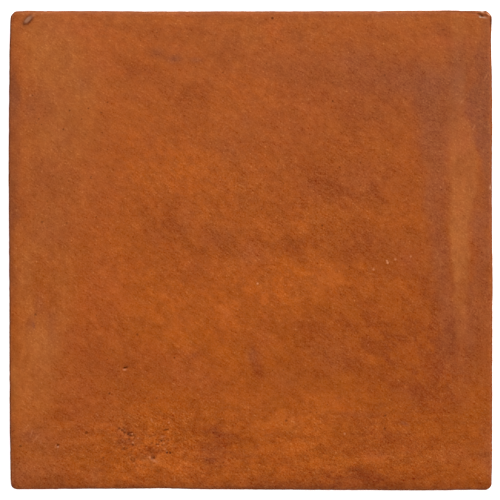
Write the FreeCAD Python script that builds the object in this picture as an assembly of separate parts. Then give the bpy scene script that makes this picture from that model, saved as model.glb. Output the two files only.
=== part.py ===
"""Terracotta floor tile: one slab of clay, pressed in a hand mould, fired and sealed as a single piece.

The origin is the middle of the underside. +X runs to the right-hand side, +Y to the back side and +Z up
through the wearing face. Lengths are in millimetres and angles in degrees.
"""

import FreeCAD
import Part
import math
import os
from collections import namedtuple

# Overall size, measured at the foot, where the tile is widest
TILE_WIDTH = 300.0
TILE_DEPTH = 297.5
TILE_THICKNESS = 20.0

# Each side leans in by this much from foot to top, so that the wet tile left its mould
SIDE_LEAN = 0.7

# How far each side leaves a straight line at its middle. No side of a moulded tile is quite straight:
# positive swells outwards, negative is drawn in
BACK_SWELL = -0.4
RIGHT_SWELL = 0.3
FRONT_SWELL = -0.3
LEFT_SWELL = 1.1

# The front side runs out of square: its left end stands this much further back than its right end
FRONT_SKEW = 0.6

# Rounding of the upright corners at the foot, each as the mould and handling left it
BACK_LEFT_RADIUS = 4.2
BACK_RIGHT_RADIUS = 3.8
FRONT_RIGHT_RADIUS = 4.4
FRONT_LEFT_RADIUS = 3.4

# Rounding of the edge round the wearing face, and of the edge round the underside
ARRIS_RADIUS = 1.8
FOOT_RADIUS = 0.8

# A hollow pressed or torn into the wearing face. side_gap is the distance of its middle from the left or
# right side, and end_gap from the back or front side. turn is the angle of its length from +X, anticlockwise
# seen from above
Mark = namedtuple("Mark", "side end side_gap end_gap length breadth depth turn")

OVAL_DINT = Mark("left", "back", side_gap=11.9, end_gap=5.9, length=7.4, breadth=3.0, depth=0.7, turn=40)
CORNER_TEAR = Mark("right", "back", side_gap=5.7, end_gap=3.6, length=5.0, breadth=1.3, depth=0.6, turn=-14)
FACE_NICK = Mark("left", "front", side_gap=72.4, end_gap=76.0, length=2.8, breadth=1.7, depth=0.7, turn=12)
CORNER_PIT = Mark("left", "front", side_gap=30.2, end_gap=27.9, length=2.2, breadth=1.6, depth=0.6, turn=35)
ROUGH_PIT = Mark("left", "front", side_gap=75.6, end_gap=34.6, length=3.0, breadth=2.2, depth=0.5, turn=20)
ROUGH_HOLLOW = Mark("left", "front", side_gap=88.2, end_gap=21.2, length=6.6, breadth=3.6, depth=0.6, turn=-50)
MARKS = (OVAL_DINT, CORNER_TEAR, FACE_NICK, CORNER_PIT, ROUGH_PIT, ROUGH_HOLLOW)

# The circle that a side or a corner follows: inside is +1 where the clay lies inside it and -1 outside
Bend = namedtuple("Bend", "centre radius inside")

UP = FreeCAD.Vector(0, 0, 1)
ON_PLANE = 1e-6


def corner_points():
    """Where the sides would meet at the foot if the corners were sharp, from back left, clockwise."""
    left = -TILE_WIDTH / 2 + max(LEFT_SWELL, 0)
    right = TILE_WIDTH / 2 - max(RIGHT_SWELL, 0)
    back = TILE_DEPTH / 2 - max(BACK_SWELL, 0)
    front = -TILE_DEPTH / 2 + max(FRONT_SWELL, 0)
    return [
        FreeCAD.Vector(left, back, 0),
        FreeCAD.Vector(right, back, 0),
        FreeCAD.Vector(right, front, 0),
        FreeCAD.Vector(left, front + FRONT_SKEW, 0),
    ]


def side_bend(start, end, swell, inset):
    """The circle through start and end whose arc leaves their straight line by swell, drawn in by inset.

    The corners run clockwise, so outwards is to the left of the way from start to end.
    """
    along = end - start
    radius = ((along.Length / 2) ** 2 + swell**2) / (2 * abs(swell))
    inside = math.copysign(1, swell)
    outwards = UP.cross(along).normalize()
    centre = (start + end) / 2 + outwards * (swell - inside * radius)
    return Bend(centre, radius - inside * inset, inside)


def side_bends(inset):
    """The circles of the back, right, front and left sides, drawn in by inset."""
    points = corner_points()
    swells = (BACK_SWELL, RIGHT_SWELL, FRONT_SWELL, LEFT_SWELL)
    ends = points[1:] + points[:1]
    return [side_bend(start, end, swell, inset) for start, end, swell in zip(points, ends, swells)]


def point_on(bend, towards):
    """The point of the circle that lies on the line from its centre through towards."""
    return bend.centre + (towards - bend.centre).normalize() * bend.radius


def corner_bend(before, after, sharp, radius):
    """The circle of that radius that touches two sides near the point sharp where they would meet.

    Its centre is where the two side circles, drawn in by radius, cross.
    """
    reach_before = before.radius - before.inside * radius
    reach_after = after.radius - after.inside * radius
    between = after.centre - before.centre
    span = between.Length
    along = (reach_before**2 - reach_after**2 + span**2) / (2 * span)
    aside = math.sqrt(reach_before**2 - along**2)
    foot = before.centre + between * (along / span)
    step = UP.cross(between) * (aside / span)
    centre = min((foot + step, foot - step), key=sharp.distanceToPoint)
    return Bend(centre, radius, 1)


def arc(bend, start, end):
    """The short arc of a circle from start to end, both on the circle."""
    return Part.Arc(start, point_on(bend, (start + end) / 2), end).toShape()


def outline(inset, z):
    """The closed outline at height z, drawn in by inset: four side arcs joined by touching corner arcs."""
    sides = side_bends(inset)
    radii = (BACK_LEFT_RADIUS, BACK_RIGHT_RADIUS, FRONT_RIGHT_RADIUS, FRONT_LEFT_RADIUS)
    arcs = []
    leaves = []
    arrives = []
    for index, (sharp, radius) in enumerate(zip(corner_points(), radii)):
        before = sides[index - 1]
        after = sides[index]
        corner = corner_bend(before, after, sharp, radius - inset)
        arrives.append(point_on(before, corner.centre))
        leaves.append(point_on(after, corner.centre))
        arcs.append(arc(corner, arrives[-1], leaves[-1]))
    for side, start, end in zip(sides, leaves, arrives[1:] + arrives[:1]):
        arcs.append(arc(side, start, end))
    wire = Part.Wire(Part.__sortEdges__(arcs))
    wire.translate(UP * z)
    return wire


def edges_at(shape, z):
    """The edges of shape that lie wholly at height z."""
    return [edge for edge in shape.Edges if all(abs(v.Z - z) < ON_PLANE for v in edge.Vertexes)]


def slab():
    """The tile before any marks: leaning sides, rounded corners and rounded edges."""
    body = Part.makeLoft([outline(0, 0), outline(SIDE_LEAN, TILE_THICKNESS)], True, True)
    body = body.makeFillet(ARRIS_RADIUS, edges_at(body, TILE_THICKNESS))
    return body.makeFillet(FOOT_RADIUS, edges_at(body, 0))


def mark_cutter(mark):
    """A lemon-shaped solid that leaves a hollow of the mark's length, breadth and depth in the wearing face.

    It is a circular arc turned about a level axis above the face. waist is the lemon's radius at its
    middle, sweep the radius of the arc and half_axis half the lemon's length along the axis.
    """
    waist = ((mark.breadth / 2) ** 2 + mark.depth**2) / (2 * mark.depth)
    sweep = ((mark.length / 2) ** 2 + mark.depth**2) / (2 * mark.depth)
    half_axis = math.sqrt(sweep**2 - (sweep - waist) ** 2)
    start = FreeCAD.Vector(-half_axis, 0, 0)
    belly = FreeCAD.Vector(0, 0, -waist)
    end = FreeCAD.Vector(half_axis, 0, 0)
    section = Part.Wire([Part.Arc(start, belly, end).toShape(), Part.LineSegment(end, start).toShape()])
    lemon = Part.Face(section).revolve(start, end - start, 360)
    lemon.rotate(FreeCAD.Vector(), UP, mark.turn)
    x = TILE_WIDTH / 2 - mark.side_gap
    y = TILE_DEPTH / 2 - mark.end_gap
    z = TILE_THICKNESS + waist - mark.depth
    lemon.translate(FreeCAD.Vector(x if mark.side == "right" else -x, y if mark.end == "back" else -y, z))
    return lemon


def tile():
    """The finished tile, as one solid."""
    return slab().cut([mark_cutter(mark) for mark in MARKS])


def main():
    os.makedirs("parts", exist_ok=True)
    shape = tile()
    if not shape.isValid() or len(shape.Solids) != 1:
        raise ValueError("the tile is not one valid solid")
    shape.Solids[0].exportStep("parts/terracotta_tile.step")
    box = shape.optimalBoundingBox()
    print("size", round(box.XLength, 3), round(box.YLength, 3), round(box.ZLength, 3))
    print("centre", round(box.Center.x, 3), round(box.Center.y, 3), "volume", round(shape.Volume))


main()
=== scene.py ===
"""The terracotta floor tile as it looks: one closed skin of fired clay with a worn outline, a sealed and
stained wearing face, raw sides and a plain underside. It lies on a pale floor in soft studio light and is
seen from straight above.

Lengths are millimetres from the middle of the underside and become metres in the mesh. Colours are
display levels, 0 to 255, as the clay shows in the studio light.
"""
from collections import namedtuple

import bpy
import numpy as np
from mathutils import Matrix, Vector


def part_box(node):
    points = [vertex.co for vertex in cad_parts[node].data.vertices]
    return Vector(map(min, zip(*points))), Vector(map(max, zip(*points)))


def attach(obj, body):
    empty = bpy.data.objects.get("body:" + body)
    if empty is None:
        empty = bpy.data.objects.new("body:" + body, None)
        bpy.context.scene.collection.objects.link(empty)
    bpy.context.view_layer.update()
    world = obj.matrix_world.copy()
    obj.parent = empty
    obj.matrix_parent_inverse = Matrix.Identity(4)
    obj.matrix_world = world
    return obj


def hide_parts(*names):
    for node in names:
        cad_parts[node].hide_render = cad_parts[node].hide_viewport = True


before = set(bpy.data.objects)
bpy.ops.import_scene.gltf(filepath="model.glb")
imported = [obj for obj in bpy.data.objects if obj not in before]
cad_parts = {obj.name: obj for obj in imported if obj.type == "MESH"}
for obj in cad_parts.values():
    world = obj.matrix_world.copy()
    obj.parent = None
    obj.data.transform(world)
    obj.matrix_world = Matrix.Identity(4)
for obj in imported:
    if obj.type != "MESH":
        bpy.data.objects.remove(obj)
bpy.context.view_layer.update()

METRES = 0.001
BODY = "root"
NODE = "terracotta_tile"
SLOT = "sealed_terracotta"

# The tile's size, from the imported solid
node_low, node_high = (np.array(corner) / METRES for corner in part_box(NODE))
HALF_WIDTH, HALF_DEPTH = ((node_high - node_low) / 2)[:2]
THICKNESS = node_high[2]

# Section of the edge: how far the side leans in as it rises, the roundings, and the grid's steps down it
SIDE_LEAN = 0.7
ARRIS_RADIUS = 1.8
FOOT_RADIUS = 0.8
RIM_STEPS = 3
ARRIS_STEPS = 7
SIDE_STEPS = 8
FOOT_STEPS = 3
RINGS = RIM_STEPS + ARRIS_STEPS + SIDE_STEPS + FOOT_STEPS

# Corners: one rounding for all four, and how much fuller than that round each one stands
CORNER_RADIUS = 4.3
Corner = namedtuple("Corner", "x y fuller")
CORNERS = (
    Corner(-1, 1, -0.04),
    Corner(1, 1, -0.10),
    Corner(1, -1, -0.03),
    Corner(-1, -1, 0.06),
)

# The grid that the skin is made on. The plain underside has one line for each four of the face, and stays
# this far inside the foot
GRID_STEPS = 300
UNDERSIDE_SHARE = 4
UNDERSIDE_GAP = 1.0

# Where the grid's lines crowd together for fine relief: place, half width and how many times closer
Crowd = namedtuple("Crowd", "at half_width closer")
CROWDS_ACROSS = (
    Crowd(-146, 4, 0.8),
    Crowd(-138, 5, 1.8),
    Crowd(-120, 3, 1.2),
    Crowd(-67, 15, 1.6),
    Crowd(144, 6, 2.0),
)
CROWDS_UP = (
    Crowd(-146, 5, 1.0),
    Crowd(-119, 13, 1.6),
    Crowd(-73, 4, 1.6),
    Crowd(144, 6, 2.0),
)
DENSITY_STEPS = 4000

# What differs from side to side
Sides = namedtuple("Sides", "left right back front")

# How far each side stands inside the tile's box, as (place along the side, inset)
OUTLINE = Sides(
    left=(
        (-147, 1.5), (-141, 1.2), (-122, 0.95), (-108, 0.65), (-45, 0.5), (10, 0.25), (50, 0.03),
        (82, 0.2), (118, 0.5), (141, 1.0), (147, 1.45),
    ),
    right=(
        (-142, 0.55), (-132, 0.25), (-45, 0.15), (-22, 0.0), (20, 0.3), (46, 0.4), (84, 0.2),
        (104, 0.35), (130, 0.95), (142, 0.55),
    ),
    back=(
        (-147, 0.45), (-140, 0.2), (-100, 0.35), (-54, 0.6), (-14, 0.5), (52, 0.4), (100, 0.2),
        (124, 0.0), (142, 0.3),
    ),
    front=(
        (-140, 0.7), (-94, 1.0), (-58, 1.15), (-25, 0.7), (25, 0.4), (50, 0.2), (110, 0.0), (142, 0.3),
    ),
)

# Small notches in the back edge, and how far inwards they die away
Notch = namedtuple("Notch", "x half_width depth")
BACK_NOTCHES = (
    Notch(143.2, 0.9, 0.22),
    Notch(131.4, 0.8, 0.30),
    Notch(80, 1.8, 0.25),
    Notch(-128, 1.5, 0.25),
)
NOTCH_REACH = 1.6

# Waves of clay noise: the lattice they are made on, how high each octave is against the one before, and
# what the seed grows by for the same waves the other way
Wave = namedtuple("Wave", "height cell seed octaves")
LATTICE_SIZE = 256
LATTICE_TURN = 33
OCTAVE_HEIGHT = 0.6
OTHER_WAY_SEED = 5

# Relief of the face: its roll-off along each side, how deep it lies, and the clay's own waves
Roll = namedtuple("Roll", "depth width")
FACE_ROLL = Sides(Roll(0.22, 2.6), Roll(0.20, 2.2), Roll(0.18, 2.2), Roll(0.45, 4.2))
FACE_SINK = 0.12
FACE_WAVES = (Wave(0.08, 45, 101, 2), Wave(0.035, 11, 111, 2), Wave(0.012, 3.5, 121, 2))

# Waves of the sides, which move along by this much for each millimetre of height, so that they slant
SIDE_WAVES = (Wave(0.16, 9, 131, 2), Wave(0.10, 3.0, 141, 2))
SIDE_SLANT_X = 1.7
SIDE_SLANT_Y = 1.3

# Hollows in the face, the flake that sits in one of them, and how their outlines wander
Hollow = namedtuple("Hollow", "x y length breadth turn depth")
HOLLOWS = {
    "oval dint, back left": Hollow(-137.6, 142.4, 8.4, 4.6, 45, 0.55),
    "torn crease, back right": Hollow(142.8, 145.4, 5.6, 2.2, -16, 0.80),
    "crease's thin end": Hollow(138.5, 146.6, 7.0, 1.2, -8, 0.30),
    "nick": Hollow(-77.4, -72.7, 3.3, 2.0, 10, 0.80),
    "corner pit": Hollow(-119.2, -120.5, 2.0, 1.7, 0, 0.70),
    "rough hollow": Hollow(-60.5, -127.7, 4.6, 3.0, -40, 0.45),
    "dip above the rough hollow": Hollow(-61.6, -124.5, 6.0, 5.0, 0, 0.20),
    "rough pit": Hollow(-74.6, -114.2, 3.6, 2.6, -30, 0.40),
    "rough pit, left": Hollow(-78.1, -112.0, 4.8, 2.4, -35, 0.30),
    "rough pit, low left": Hollow(-77.2, -122.3, 3.0, 1.6, 0, 0.20),
    "rough pit, low": Hollow(-72.6, -120.4, 2.8, 1.4, 0, 0.35),
    "rough pit, middle": Hollow(-67.9, -120.2, 2.4, 1.4, -20, 0.30),
    "rough pit, inner": Hollow(-63.2, -120.3, 2.0, 1.2, 20, 0.30),
    "rough dash": Hollow(-57.6, -119.9, 3.0, 1.2, 0, 0.38),
    "rough dash, right": Hollow(-53.2, -117.3, 3.4, 1.8, -20, 0.30),
    "twin pit": Hollow(-51.5, -125.0, 1.8, 1.3, 0, 0.50),
    "twin pit's fellow": Hollow(-49.7, -125.3, 1.6, 1.2, 60, 0.45),
    "foot of the rough ground": Hollow(-73.3, -129.7, 3.0, 1.2, -35, 0.18),
    "pit behind left": Hollow(-115.8, 74.2, 1.8, 1.5, 0, 0.30),
    "chip in the right edge": Hollow(148.6, 39.4, 3.0, 3.6, 0, 0.60),
    "nick in the right edge": Hollow(148.8, 33.5, 2.4, 2.2, 0, 0.70),
}
HOLLOW_POWER = 3
FLAKES = {
    "flake in the oval dint": Hollow(-137.5, 142.6, 6.6, 3.0, 45, 0.42),
    "flake's tail": Hollow(-134.4, 145.6, 3.0, 2.0, 45, 0.20),
}
FLAKE_POWER = 4
MARK_WANDERS = (Wave(0.25, 1.6, 151, 1),)

# Rough ground at the front left: where it is, its small pits, their dirt and painted shade, and the
# painted highlights on their lips
Stain = namedtuple("Stain", "x y length breadth turn strength")
ROUGH_GROUND = {
    "upper cluster": Stain(-77.7, -112.2, 12, 7, -35, 1.0),
    "left cluster": Stain(-76.7, -121.0, 11, 8, 0, 0.9),
    "middle": Stain(-65.7, -118.5, 16, 10, 0, 0.5),
    "right cluster": Stain(-55.3, -119.0, 15, 9, 10, 0.8),
    "foot": Stain(-70.7, -128.5, 16, 6, -20, 0.8),
    "far right": Stain(-52.3, -109.6, 13, 8, -30, 0.5),
    "ground of it all": Stain(-65.7, -118.5, 52, 36, 0, 0.25),
}
PITS = (Wave(1.0, 1.5, 171, 2),)
PIT_LEVEL = 0.22
PIT_DEPTH = 0.30
# Dirt with painted shade in each pit, and a painted highlight on its front lip, which faces the key light
# behind
PIT_DIRT_AND_SHADE = 0.75
PIT_LIP_HIGHLIGHT = 0.40
PIT_HIGHLIGHT_REACH = 0.6

# Pale limy bloom, smoke from the kiln, umber stains with a painted shade along the front edge, golden
# clay and a pinkish flush on the face. A stain is a bell and a streak runs from back to front through its
# knots
Knot = namedtuple("Knot", "y x half_width strength")
BLOOM_STREAKS = {
    "bloom down the left side": (
        Knot(150, -124, 18, 0.20),
        Knot(135, -125, 18, 0.58),
        Knot(122, -122, 16, 0.80),
        Knot(108, -118, 17, 0.72),
        Knot(92, -112, 18, 0.58),
        Knot(75, -118, 24, 0.66),
        Knot(55, -120, 26, 0.32),
        Knot(35, -118, 24, 0.25),
        Knot(12, -128, 20, 0.28),
        Knot(-5, -139, 10, 0.48),
        Knot(-18, -141, 9, 0.55),
        Knot(-32, -139, 9, 0.45),
        Knot(-45, -135, 10, 0.50),
        Knot(-60, -133, 13, 0.70),
        Knot(-78, -132, 16, 0.62),
        Knot(-98, -136, 14, 0.40),
        Knot(-118, -138, 14, 0.20),
        Knot(-136, -136, 16, 0.12),
    ),
    "fainter bloom beside it": (
        Knot(12, -116, 10, 0.00),
        Knot(-5, -118, 10, 0.30),
        Knot(-30, -115, 9, 0.38),
        Knot(-52, -118, 9, 0.35),
        Knot(-72, -120, 8, 0.10),
    ),
}
STREAK_POWER = 3

# A drip of bloom has firmer and straighter sides
DRIPS = {
    "drip down the right side": (
        Knot(118, 129, 4, 0.52),
        Knot(103, 128.5, 4.6, 1.00),
        Knot(85, 128, 6.5, 0.88),
        Knot(74, 131, 8.8, 0.92),
        Knot(59, 131.3, 8.6, 1.00),
        Knot(44, 131, 8.4, 1.00),
        Knot(22, 130.5, 7.2, 1.00),
        Knot(6, 129.8, 6.0, 1.00),
        Knot(-9, 130.0, 5.5, 1.00),
        Knot(-24, 129.8, 4.6, 0.80),
        Knot(-32, 129.5, 3.8, 0.65),
        Knot(-47, 129.8, 3.8, 0.50),
        Knot(-58, 130, 3, 0.00),
    ),
}
DRIP_POWER = 6
DRIP_WANDER = 0.4

# Stains of bloom, streaks and stains of smoke, and stains of umber, gold and flush, with a painted shade
# along the front among the umber ones and a painted highlight under the rough hollow among the bloom and
# gold ones
BLOOM = {
    "pale band along the back": Stain(0, 158, 330, 26, 0, 0.45),
    "pale band, back left": Stain(-85, 142, 50, 22, 0, 0.15),
    "pale band, back right": Stain(84, 148, 30, 8, 0, 0.55),
    "pale corner of the bloom": Stain(-138, 134, 10, 14, 0, 0.15),
    "pale knuckle behind left": Stain(-96, 106, 8, 20, 0, 0.35),
    "pale lip over the smoke": Stain(118, 122, 24, 14, 0, 0.24),
    "pale lip, inner end": Stain(92, 130, 26, 10, 0, 0.15),
    "pale touch on the drip": Stain(134, -4, 6, 14, 0, 0.10),
    "pale touch inside the drip": Stain(125, -32, 5, 16, 0, 0.15),
    "thumb-light mark": Stain(-10, 113, 9, 7, -40, 0.35),
    "pale flake at right": Stain(40, 18, 12, 3, 10, 0.35),
    "pale patch behind the middle": Stain(2, 130, 14, 16, 0, 0.25),
    "pale patch in the golden belt": Stain(42, -18, 26, 10, 15, 0.20),
    "pale smear at the middle": Stain(0, -4, 14, 12, 0, 0.22),
    "pale smear below the middle": Stain(8, -20, 8, 10, 0, 0.20),
    "pale smear right of the middle": Stain(94, -6, 16, 14, 0, 0.10),
    # Painted highlight on the rough hollow's front lip, which faces the key light
    "painted highlight under the rough hollow": Stain(-64, -129, 18, 5, -12, 0.48),
    "pale ground left of the pits": Stain(-82, -103, 14, 14, 0, 0.20),
    "pale ground, front": Stain(26, -107, 18, 10, 0, 0.20),
    "pale fleck, front": Stain(80, -127, 20, 8, 0, 0.12),
    "pale streak on the left edge": Stain(-138, -14, 7, 20, 0, 0.28),
    "pale streak low on the left edge": Stain(-147, -75, 8, 40, 0, 0.40),
    "pale corner, back right": Stain(143, 139, 16, 22, 0, 0.28),
}
SMOKE_STREAKS = {
    "smoke on the left edge": (
        Knot(140, -149, 4, 0.30),
        Knot(122, -148, 5, 0.15),
        Knot(105, -147, 6, 0.82),
        Knot(92, -147, 6.5, 0.85),
        Knot(78, -148, 5, 0.40),
        Knot(60, -148, 5, 0.35),
        Knot(40, -148, 6, 0.48),
        Knot(22, -147, 7, 0.70),
        Knot(8, -149, 4, 0.30),
        Knot(-15, -150, 4, 0.30),
        Knot(-45, -150, 4, 0.12),
        Knot(-60, -150, 4, 0.00),
        Knot(-95, -150, 4, 0.00),
        Knot(-120, -150, 5, 0.40),
    ),
    "smoke inside the drip": (
        Knot(122, 112, 10, 0.00),
        Knot(104, 112, 13, 0.60),
        Knot(86, 113, 12, 0.74),
        Knot(62, 113.5, 8, 0.60),
        Knot(38, 115, 7.5, 0.56),
        Knot(12, 115.5, 7.5, 0.56),
        Knot(-12, 118, 6.5, 0.52),
        Knot(-35, 120.5, 6.5, 0.54),
        Knot(-52, 123.5, 9, 0.46),
        Knot(-65, 125, 9, 0.30),
        Knot(-78, 126, 9, 0.15),
    ),
    "smoke outside the drip": (
        Knot(148, 147, 5, 0.45),
        Knot(125, 147, 5.5, 0.55),
        Knot(98, 143.5, 8.5, 1.05),
        Knot(75, 145, 6.5, 1.05),
        Knot(52, 146, 6, 0.80),
        Knot(20, 145.5, 6, 0.65),
        Knot(-12, 144, 6.5, 0.58),
        Knot(-32, 142, 7.5, 0.38),
        Knot(-52, 141, 8, 0.40),
        Knot(-75, 144, 7, 0.20),
        Knot(-95, 148, 4, 0.05),
        Knot(-115, 148, 5, 0.20),
        Knot(-140, 148, 5, 0.35),
    ),
}
SMOKE = {
    "cloud over the back right": Stain(70, 110, 96, 32, 0, 0.28),
    "heart of the cloud": Stain(92, 106, 44, 28, 0, 0.38),
    "cloud's head": Stain(64, 120, 26, 14, 0, 0.28),
    "cloud's tail": Stain(18, 113, 50, 16, 0, 0.20),
    "cloud's foot": Stain(74, 82, 34, 18, 0, 0.22),
    "haze on the drip": Stain(130, 88, 16, 64, 0, 0.28),
    "haze on the drip's top": Stain(127, 100, 10, 36, 0, 0.26),
    "haze on the drip's outer side": Stain(135, 84, 9, 40, 0, 0.15),
    "haze below that": Stain(139, 37, 8, 16, 0, 0.20),
    "haze by the drip's end": Stain(136, -25, 5, 18, 0, 0.25),
    "haze inside the drip": Stain(120, 36, 6, 10, 0, 0.35),
    "haze under the drip": Stain(130, -82, 18, 16, 0, 0.22),
    "haze along the back": Stain(0, 152, 330, 10, 0, 0.58),
    "haze at the back right edge": Stain(84, 147, 30, 8, 0, 0.42),
    "haze along the front": Stain(0, -150, 330, 12, 0, 0.28),
    "smoke at the front left corner": Stain(-148, -138, 36, 24, 0, 0.50),
    "smoke above that corner": Stain(-136, -114, 18, 12, 0, 0.40),
    "smoke inside that corner": Stain(-122, -140, 16, 12, 0, 0.30),
    "smoke above the front right corner": Stain(130, -95, 16, 12, 0, 0.15),
    "grey wash, front left": Stain(-122, -122, 24, 20, 0, 0.24),
    "grey wash, far front right": Stain(128, -128, 34, 14, 0, 0.20),
    "grey wash by the scab": Stain(-28, -134, 22, 14, 0, 0.10),
    "grey wash, back left": Stain(-64, 108, 20, 10, 0, 0.10),
    "grey wash in the bloom": Stain(-124, 44, 30, 34, 0, 0.27),
    "grey wash below the bloom": Stain(-122, 12, 32, 26, 0, 0.27),
    "grey wash on the bloom's back end": Stain(-126, 139, 20, 18, 0, 0.22),
    "grey wash on the bloom's outer side": Stain(-137, 87, 8, 16, 0, 0.30),
    "grey line in the bloom": Stain(-130, -32, 7, 16, 0, 0.30),
    "grey line right of it": Stain(-123, -47, 8, 24, 0, 0.35),
    "grey line left of it": Stain(-136, -46, 5, 10, 0, 0.30),
    "grey eye in the bloom": Stain(-127.5, 91, 20, 22, 0, 0.34),
    "grey eye by the bloom": Stain(-104, 102, 8, 10, 0, 0.42),
    "grey eye below the bloom": Stain(-115, 70, 12, 14, 0, 0.20),
    "left finger mark": Stain(-58, 122, 9, 7, 0, 0.55),
    "middle finger mark": Stain(-47, 118, 9, 5, 0, 0.85),
    "right finger mark": Stain(-34, 117.5, 8, 3.5, 0, 0.65),
    "grey patch behind the middle": Stain(-14, 128, 22, 20, 0, 0.22),
    "grey patch right of centre": Stain(66, 44, 34, 22, 0, 0.28),
    "grey patch left of centre": Stain(-14, 66, 26, 22, -20, 0.12),
    "grey patch right of the middle": Stain(78, 6, 50, 14, 0, 0.15),
    "grey patch over the brown one": Stain(37, 37, 22, 12, -40, 0.18),
    "grey patch, front right": Stain(95, -90, 16, 12, 0, 0.15),
    "grey streak, front right": Stain(66, -102, 30, 5, 0, 0.25),
    "grey streak behind the middle": Stain(-14, 60, 20, 8, -30, 0.18),
    "grey heart of the smudge": Stain(-25, 8, 24, 14, 0, 0.20),
    "grey heart of the front blot": Stain(65, -137, 8, 7, 0, 0.10),
    "grey fleck left of the cloud": Stain(32, 103, 12, 12, 0, 0.12),
    "grey fleck left of the smudge": Stain(-57, 10, 16, 12, 0, 0.20),
    "grey fleck above the smudge": Stain(-41, 22, 10, 20, 0, 0.22),
    "grey fleck right of the smudge": Stain(-14, 9, 14, 14, 0, 0.20),
    "grey fleck over the warm patch": Stain(-62, 68, 7, 16, 0, 0.12),
    "grey fleck in the warm patch": Stain(-55, 46, 9, 10, 0, 0.15),
    "grey fleck, back middle": Stain(-3, 80, 8, 14, 0, 0.25),
    "grey fleck near the middle": Stain(-6, 30, 8, 8, 0, 0.20),
    "grey fleck in the golden belt": Stain(-15, -40, 10, 10, 0, 0.12),
    "grey fleck, left in the belt": Stain(-38, -40, 10, 12, 0, 0.12),
    "grey fleck in the brown ground": Stain(51, -67, 22, 24, 0, 0.20),
    "grey fleck in the scab": Stain(-25, -127, 12, 8, 0, 0.10),
    "grey fleck by the scab": Stain(-5, -127, 7, 5, 0, 0.12),
    "grey stain by the spindle": Stain(1, -65, 6, 9, 0, 0.35),
    "grey stain left of the spindle": Stain(-35, -65, 9, 10, 0, 0.15),
    "grey stain, front left": Stain(-79, -114, 8, 12, 0, 0.20),
    "grey stain, front": Stain(22, -81, 18, 16, 0, 0.20),
    "grey stain, middle front": Stain(10, -95, 14, 14, 0, 0.10),
    "haze at the back right corner": Stain(131, 119, 22, 32, 0, 0.50),
    "haze outside the drip's end": Stain(135, -45, 8, 40, 0, 0.25),
    "smoke at the front": Stain(-97, -139, 12, 14, 0, 0.28),
    "grey patch at the back": Stain(30, 132, 14, 14, 0, 0.20),
    "grey patch, back right": Stain(118, 137, 12, 7, 0, 0.25),
    "haze, front left": Stain(-104, -88, 50, 60, 0, 0.13),
    "haze left of the drip": Stain(108, -18, 14, 40, 0, 0.14),
}
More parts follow.
